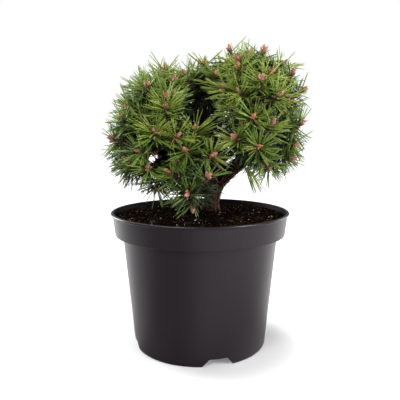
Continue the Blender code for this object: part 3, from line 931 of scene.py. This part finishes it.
def outwards(points):  # how far out each point is, where the surface of the nearest main form is 1
    return np.min([np.linalg.norm((points - np.array(centre)) / np.array(radii), axis=1)
                   for centre, radii in lobes], axis=0)


def clearOfSky(points, ragged):
    eye = np.array((0.0, -studio["cameraBack"], studio["cameraHeight"]))
    clear = np.ones(len(points), bool)
    for place, radius in skyGaps:
        sight = np.array(place) - eye
        sight /= np.linalg.norm(sight)
        off = points - eye
        off -= sight * (off @ sight)[:, None]
        clear &= np.linalg.norm(off, axis=1) > radius * ragged
    return clear


def needleMesh(name, rows, share):
    dice = np.random.default_rng(len(rows))
    roots, ways, flats, parts, bows, lengths = (np.array([row[k] for row in rows]) for k in range(6))
    lengths = lengths[:, None]
    tips = roots + ways * lengths + bows
    halfway = roots + ways * lengths * 0.5 + bows * 0.25
    room = np.array(cadHigh - cadLow) * needle["margin"]
    low, high = np.array(cadLow) - room, np.array(cadHigh) + room
    kept = np.all((tips > low) & (tips < high), axis=1) & clearOfPot(tips) & clearOfPot(halfway)
    ragged = dice.uniform(*needle["ragged"], len(rows))
    for points in (roots, roots + (tips - roots) * 0.25, halfway, roots + (tips - roots) * 0.75, tips):
        kept &= clearOfSky(points, ragged)
    if share < 1.0:
        out = outwards(tips)
        end = needle["fringeEnd"]
        kept &= (out < 1.0) | (dice.random(len(rows)) < share * (end - out) / (end - 1.0))
    roots, ways, flats, parts, bows, lengths, tips = (
        a[kept] for a in (roots, ways, flats, parts, bows, lengths, tips))
    rings = []
    for station, width in zip(needle["stations"], needle["taper"]):
        centre = roots + ways * lengths * station + bows * station**2
        for angle in needle["angles"]:  # the flat face lies towards the needle's twin
            wide = flats * math.cos(math.radians(angle + 90)) * needle["halfWidth"] * width
            deep = parts * math.sin(math.radians(angle + 90)) * needle["halfDepth"] * width
            rings.append(centre + wide + deep)
    points = np.stack(rings + [tips], axis=1)
    quads = bridged(3, 3)
    tris = [(6 + k, 6 + (k + 1) % 3, 9) for k in range(3)] + [(2, 1, 0)]
    corners = [repeated(faces, *points.shape[:2]) for faces in (quads, tris)]
    hand = np.einsum("ij,ij->i", np.cross(flats, parts), ways) < 0  # mirrored needles are turned back
    for c, faces in zip(corners, (quads, tris)):
        grouped = c.reshape(len(points), len(faces), -1)
        grouped[hand] = grouped[hand][:, :, ::-1]
    return joinedMesh(name, points.reshape(-1, 3), corners)


def needleFinish(name, colour):
    return Shader(name + "Needle", Roughness=needle["roughness"], Base_Color=colour).material


def makeNeedles():
    found, sheaths = needlePlan()
    nodes = ["needles_" + mass.name for mass in clumps]
    for tint, rows in found.items():
        mesh = needleMesh("needles_" + tint, rows, fringe.get(tint, needle["fringeShare"]))
        piece = addPiece("spray_" + tint, mesh, "needles", needleFinish(tint, tints[tint]))
        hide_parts(*nodes)
        print("needles", tint, len(mesh.polygons), "faces")
    return sheaths


# Buds: a large one and a few small ones round it at the tip of each shoot

bud = dict(
    length=0.0078, radius=0.00205, varies=(0.80, 1.15), sideLength=0.0054, sideRadius=0.00145, sideOut=0.0012,
    sideBuds=(0, 1, 2, 2, 3, 3, 4, 5), sideLean=38.0, sideVaries=(0.7, 1.2), sideStray=0.3, sunk=0.0008,
    sides=10, rings=11, scaleRows=5.0, scaleTurns=2.0, scaleDepth=0.16,
    swellFoot=0.22, swell=0.62, point=1.06,
    resin=(0.62, 0.50, 0.44), roughness=0.50,
)
budTints = {
    "salmon": (0.540, 0.240, 0.155),
    "orange": (0.560, 0.230, 0.105),
    "red": (0.350, 0.125, 0.085),
}


def budShape():  # a bud of unit length and radius, its scales as steps that spiral up it
    n, m = bud["sides"], bud["rings"]
    points = []
    for i in range(m):
        share = i / (m - 1)
        along = bud["swellFoot"] + share * (1 - bud["swellFoot"])
        swell = math.sin(math.pi * min(1.0, along)) ** bud["swell"]
        for k in range(n):
            turn = math.tau * k / n
            step = (share * bud["scaleRows"] + k / n * bud["scaleTurns"]) % 1.0
            radius = swell * (1.0 + bud["scaleDepth"] * (0.5 - step))
            points.append((math.cos(turn) * radius, math.sin(turn) * radius, share))
    points += [(0, 0, 0), (0, 0, bud["point"])]
    foot, tip = n * m, n * m + 1
    tris = [(foot, (k + 1) % n, k) for k in range(n)]
    tris += [(tip, (m - 1) * n + k, (m - 1) * n + (k + 1) % n) for k in range(n)]
    return np.array(points), bridged(m, n), tris


def copies(shape, rows):  # the shape set along each row's place, direction, length and radius
    points, *faces = shape
    places, ways, lengths, radii = (np.array([row[k] for row in rows], float) for k in range(4))
    ways = unit(ways)
    sides = across(ways, np.random.default_rng(2))
    frames = np.stack([sides, np.cross(ways, sides), ways], axis=1)
    frames *= np.stack([radii, radii, lengths], axis=1)[:, :, None]
    made = places[:, None] + points @ frames
    return made.reshape(-1, 3), [repeated(group, len(rows), len(points)) for group in faces]


def budFinish(name, colour):
    s = Shader(name + "Bud", Roughness=bud["roughness"])
    patches = s.speckle(520.0, detail=4.0, rough=0.6)
    body = s.ramp(s.speckle(1100.0, detail=3.0), (0.35, scaled(colour, 0.45)), (0.58, colour))
    s.set(Base_Color=s.blend(s.step(patches, 0.54, 0.70) * 0.8, body, bud["resin"]))
    s.set(Normal=s.bump(s.speckle(2600.0, detail=3.0), 0.0002, 0.5))
    return s.material


def makeBuds():
    dice = random.Random(21)
    rows = {tint: [] for tint in budTints}
    for shoot in shoots:
        tint = dice.choice(("salmon", "salmon", "orange", "red"))
        size = dice.uniform(*bud["varies"])
        way = np.array(shoot.way)
        foot = np.array(shoot.bud) - way * bud["sunk"]
        rows[tint].append((foot, way, bud["length"] * size, bud["radius"] * size))
        side = np.cross(way, (0.2, 0.9, 0.1))
        side /= np.linalg.norm(side)
        third = np.cross(way, side)
        count = dice.choice(bud["sideBuds"])
        first = dice.uniform(0, math.tau)
        for i in range(count):
            turn = first + math.tau * i / count + dice.uniform(-bud["sideStray"], bud["sideStray"])
            out = side * math.cos(turn) + third * math.sin(turn)
            lean = math.radians(bud["sideLean"] * dice.uniform(*bud["sideVaries"]))
            small = size * dice.uniform(*bud["sideVaries"])
            rows[tint].append((foot + out * bud["sideOut"], way * math.cos(lean) + out * math.sin(lean),
                               bud["sideLength"] * small, bud["sideRadius"] * small))
    for tint, found in rows.items():
        points, corners = copies(budShape(), found)
        mesh = joinedMesh("buds_" + tint, points, corners)
        addPiece("buds_" + tint, mesh, "needles", budFinish(tint, budTints[tint]))
        print("buds", tint, len(found), len(mesh.polygons), "faces")


# A brown sheath round the foot of each pair of needles

sheath = dict(
    length=0.0030, radius=0.00078, taper=0.85, sunk=0.0006, brown=(0.075, 0.036, 0.022), roughness=0.8,
)


def makeSheaths(rows):
    turns = [math.tau * k / 4 for k in range(4)]
    points = [(math.cos(turn) * wide, math.sin(turn) * wide, end)
              for end, wide in enumerate((1.0, sheath["taper"])) for turn in turns]
    shape = np.array(points), bridged(2, 4) + [(3, 2, 1, 0), (4, 5, 6, 7)]
    made, corners = copies(shape, [(root - aim * sheath["sunk"], aim, sheath["length"], sheath["radius"])
                                   for root, aim in rows])
    s = Shader("brownSheath", Roughness=sheath["roughness"])
    s.set(Base_Color=s.blend(s.speckle(900.0), sheath["brown"], scaled(sheath["brown"], 2.2)))
    mesh = joinedMesh("sheaths", made, corners)
    addPiece("sheaths", mesh, "bark", s.material)
    print("sheaths", len(mesh.polygons), "faces")


# The compost: a crust with crumbs, fibres and pale specks

compost = dict(
    radius=0.0912, rings=90, spokes=220, skirt=0.004, rough=0.0011, lumps=0.0024, lift=0.0004, spread=0.093,
    edgeRoom=0.0004, sizeBias=2.2, stretch=(0.55, 1.25), jitter=(0.72, 1.18), creaseAngle=20.0,
    fibres=(420, (0.0001, 0.0002), 0.3), fibreLength=(0.004, 0.014), fibreRadius=0.00022, fibreSteps=4,
    fibreLean=(-0.10, 0.18), fibreBow=0.25, roughness=0.95, sheen=0.03,
    dark=(0.0010, 0.0006, 0.0004), brown=(0.0068, 0.0035, 0.0022), chip=(0.085, 0.050, 0.034),
    pale=(0.46, 0.40, 0.33), fibre=(0.15, 0.080, 0.042),
)

# Each kind of grain: how many there are, their sizes, and how far they stand up in shares of their size
grains = {
    "crumbs": ((4200, (0.0005, 0.0019), 0.3), (260, (0.0018, 0.0036), 0.3)),
    "chips": ((620, (0.0004, 0.0013), 0.6),),
    "specks": ((230, (0.0004, 0.0011), 0.8),),
}


def soilHeight(distance):
    share = (distance - plan["soilTopRadius"]) / (pot["bandTopRadius"] - pot["wall"] - plan["soilTopRadius"])
    return plan["soilTop"] + (plan["soilEdge"] - plan["soilTop"]) * min(max(share, 0.0), 1.0)


def crustLift(x, y):
    coarse = noise.fractal(Vector((x, y, 0)) / compost["lumps"] / 3.0, 1.0, 2.0, 3)
    fine = noise.fractal(Vector((x, y, 0.01)) / compost["lumps"], 0.8, 2.0, 3)
    return compost["lift"] + coarse * compost["rough"] * 1.2 + fine * compost["rough"] * 0.6


def makeCrust():  # a disc with relief, and a skirt that goes down into the compost at its edge
    rings, spokes = compost["rings"], compost["spokes"]
    edge = min(compost["radius"], wallRadius(plan["soilEdge"]) - plan["gap"])
    points = []
    for ring in range(1, rings + 1):
        radius = edge * ring / rings
        for k in range(spokes):
            x, y = radius * math.cos(math.tau * k / spokes), radius * math.sin(math.tau * k / spokes)
            points.append((x, y, soilHeight(radius) + crustLift(x, y)))
    points += [(x, y, plan["soilEdge"] - compost["skirt"]) for x, y, _ in points[-spokes:]]
    quads = np.array(bridged(rings + 1, spokes))[:, ::-1]
    top = np.arange(spokes)
    foot = top[::-1] + rings * spokes
    return joinedMesh("crust", np.array(points), [quads, np.stack([top, foot])])


def scatter(count, sizes, lift, dice):  # places on the crust, each with a size
    rows = []
    spread = compost["spread"]
    while len(rows) < count:
        x, y = dice.uniform(-spread, spread), dice.uniform(-spread, spread)
        distance = math.hypot(x, y)
        size = sizes[0] + (sizes[1] - sizes[0]) * dice.random() ** compost["sizeBias"]
        if distance > min(compost["radius"], wallRadius(plan["soilEdge"])) - size - compost["edgeRoom"]:
            continue
        rows.append((x, y, soilHeight(distance) + crustLift(x, y) + size * lift, size))
    return rows


def grainMesh(name, rows, seed):  # spheres of 20 faces, flattened, turned and with their points moved
    dice = np.random.default_rng(seed)
    ball = bmesh.new()
    bmesh.ops.create_icosphere(ball, subdivisions=1, radius=1.0)
    points = np.array([v.co for v in ball.verts])
    tris = [[v.index for v in f.verts] for f in ball.faces]
    ball.free()
    n = len(rows)
    rows = np.array(rows)
    turns = unit(dice.normal(size=(n, 3)))
    seconds = across(turns, dice)
    frames = np.stack([turns, seconds, np.cross(turns, seconds)], axis=1)
    stretch = dice.uniform(*compost["stretch"], size=(n, 3)) * rows[:, 3:4]
    local = points[None] * dice.uniform(*compost["jitter"], size=(n, len(points), 1))
    made = rows[:, None, :3] + local @ (frames * stretch[:, :, None])
    return joinedMesh(name, made.reshape(-1, 3), [repeated(tris, n, len(points))])


def compostFinish(name, dark, light):
    return mottled(name, (420.0, 5.0, 0.7), ((0.38, dark), (0.66, light)), (1500.0, 5.0, 0.75, 0.0008, 0.9),
                   Roughness=compost["roughness"], Specular_IOR_Level=compost["sheen"])


def makeFibres(dice):
    c = compost
    lines = []
    for x, y, z, _ in scatter(*c["fibres"], dice):
        length = dice.uniform(*c["fibreLength"])
        turn, lean = dice.uniform(0, math.tau), dice.uniform(*c["fibreLean"])
        way = Vector((math.cos(turn), math.sin(turn), lean))
        bow = Vector((-way.y, way.x, 0.3)) * dice.uniform(-c["fibreBow"], c["fibreBow"])
        line = []
        for i in range(c["fibreSteps"] + 1):
            t = i / c["fibreSteps"] - 0.5
            place = Vector((x, y, z)) + way * length * t + bow * length * (t * t - 0.1)
            distance = math.hypot(place.x, place.y)
            if distance > c["radius"] - 0.001:
                break
            place.z = max(place.z, soilHeight(distance) + crustLift(place.x, place.y))
            line.append((place, c["fibreRadius"] * (1.3 - abs(t))))
        if len(line) > 2:
            lines.append(line)
    return sweptMesh("soil_fibres", lines, 0)


def makeCompost():
    c = compost
    peat = compostFinish("darkPeat", c["dark"], c["brown"])
    solid = bpy.data.objects["soil"].data
    solid.materials.clear()
    solid.materials.append(peat)
    addPiece("soil_crust", makeCrust(), "soil", peat)
    dice = random.Random(31)
    looks = (  # each kind of grain, its seed, its finish and that finish's colours
        ("crumbs", 4, "peatCrumb", c["dark"], scaled(c["brown"], 1.5)),
        ("chips", 5, "barkChip", scaled(c["chip"], 0.35), c["chip"]),
        ("specks", 6, "paleSpeck", scaled(c["pale"], 0.5), c["pale"]),
    )
    for kind, seed, finish, dark, light in looks:
        rows = [row for group in grains[kind] for row in scatter(*group, dice)]
        mesh = grainMesh("soil_" + kind, rows, seed)
        addPiece("soil_" + kind, mesh, "soil", compostFinish(finish, dark, light))
        if kind != "specks":
            mesh.set_sharp_from_angle(angle=math.radians(c["creaseAngle"]))
        print("compost", kind, len(mesh.polygons), "faces")
    fibres = makeFibres(dice)
    addPiece("soil_fibres", fibres, "soil", compostFinish("rootFibre", scaled(c["fibre"], 0.3), c["fibre"]))
    print("compost fibres", len(fibres.polygons), "faces")


# Light, floor and camera

studio = dict(
    floorRadius=8.0, floorNear=0.545, floorFar=0.80, nearGlow=0.20, farGlow=0.50, nearBy=(0.078, 0.145),
    behindGlow=0.60, behindReach=(0.0, 0.8),
    darkWay=(-0.63, -0.78, 0.0), floorBounce=((0.10, 0.50), (0.75, 0.38), (0.95, 0.20)),
    skyStrength=0.24, sunFrom=(-0.42, 0.30, 1.0), sunPower=2.3, sunAngle=36.0, aim=(0.0, 0.0, 0.16),
    keyPlace=(-0.60, -1.10, 0.95), keySize=(0.7, 0.7), keyPower=15.0,
    fillPlace=(0.85, -0.60, 0.50), fillSize=(0.40, 0.60), fillPower=12.0,
    rimPlaces=((-0.95, 0.62, 0.22), (0.95, 0.62, 0.22)), rimSize=(0.5, 0.9), rimPowers=(17.0, 7.0),
    cameraHeight=0.2338, cameraBack=0.5386, pitch=8.18, focal=505.2, frameWidth=400.0, sensor=36.0,
)


def makeFloor():
    bm = bmesh.new()
    bmesh.ops.create_circle(bm, cap_ends=True, segments=96, radius=studio["floorRadius"])
    floor = placed("floor", meshFrom(bm, "floor"))
    # Painted light: for the camera the floor glows, more away from the pot, so shadows fade out beyond a
    # short one by the foot; for the plant and pot it gives back a painted pattern of light, darker towards
    # the front left and brighter behind
    s = Shader("paleFloor", Roughness=0.9, Specular_IOR_Level=0.0)
    seen = s.node("LightPath", output="Is Camera Ray")  # the camera sees it paler than the plant does
    spot = s.node("TexCoord", output="Object")
    way = s.vector("NORMALIZE", spot, output="Vector")
    facing = s.vector("DOT_PRODUCT", way, studio["darkWay"])
    stops = [(0.5 + 0.5 * place, (bounce,) * 3) for place, bounce in studio["floorBounce"]]
    behind = s.vector("DOT_PRODUCT", way, (0.0, 1.0, 0.0))
    glowing = s.step(behind, *studio["behindReach"]) * studio["behindGlow"]
    bounced = s.blend(glowing, s.ramp(facing * 0.5 + 0.5, *stops), (1.0, 1.0, 1.0))
    far = s.step(s.vector("LENGTH", spot), *studio["nearBy"])
    shown = s.blend(far, (studio["floorNear"],) * 3, (studio["floorFar"],) * 3)
    s.set(Base_Color=s.blend(seen, bounced, shown), Emission_Color=(1.0, 1.0, 1.0))
    s.set(Emission_Strength=seen * (studio["nearGlow"] + far * (studio["farGlow"] - studio["nearGlow"])))
    floor.data.materials.append(s.material)


def aimed(name, lamp, place, target=studio["aim"]):
    made = placed(name, lamp)
    made.location = place
    made.rotation_mode = "QUATERNION"
    made.rotation_quaternion = (Vector(target) - made.location).to_track_quat("-Z", "Y")
    made.visible_camera = False


def makeWorld():  # soft light from all round, and plain white where the camera sees it
    world = bpy.data.worlds.new("studio")
    world.use_nodes = True
    tree = world.node_tree
    back = tree.nodes["Background"]
    seen = tree.nodes.new("ShaderNodeLightPath")
    mix = tree.nodes.new("ShaderNodeMix")
    mix.inputs[2].default_value = studio["skyStrength"]
    mix.inputs[3].default_value = 1.0
    tree.links.new(seen.outputs["Is Camera Ray"], mix.inputs[0])
    tree.links.new(mix.outputs[0], back.inputs["Strength"])
    back.inputs["Color"].default_value = (1.0, 1.0, 1.0, 1.0)
    bpy.context.scene.world = world


def softBox(name, place, size, power):
    lamp = bpy.data.lights.new(name, "AREA")
    lamp.shape = "RECTANGLE"
    lamp.size, lamp.size_y = size
    lamp.energy = power
    aimed(name, lamp, place)


def makeLights():
    makeWorld()
    sun = bpy.data.lights.new("sun", "SUN")
    sun.energy = studio["sunPower"]
    sun.angle = math.radians(studio["sunAngle"])
    aimed("sun", sun, studio["sunFrom"], (0, 0, 0))
    softBox("key", studio["keyPlace"], studio["keySize"], studio["keyPower"])
    softBox("fill", studio["fillPlace"], studio["fillSize"], studio["fillPower"])
    for number, (place, power) in enumerate(zip(studio["rimPlaces"], studio["rimPowers"])):
        softBox(f"rim{number}", place, studio["rimSize"], power)
    bpy.context.scene.view_settings.view_transform = "Standard"


def makeCamera():
    lens = bpy.data.cameras.new("camera")
    lens.sensor_width = studio["sensor"]
    lens.lens = studio["focal"] / studio["frameWidth"] * studio["sensor"]
    camera = placed("camera", lens)
    camera.location = (0.0, -studio["cameraBack"], studio["cameraHeight"])
    camera.rotation_euler = (math.radians(90 - studio["pitch"]), 0.0, 0.0)
    bpy.context.scene.camera = camera


makePot()
makeBark()
makeTwigs()
makeStrands()
sheathRows = makeNeedles()
makeBuds()
makeSheaths(sheathRows)
makeCompost()
makeFloor()
makeLights()
makeCamera()
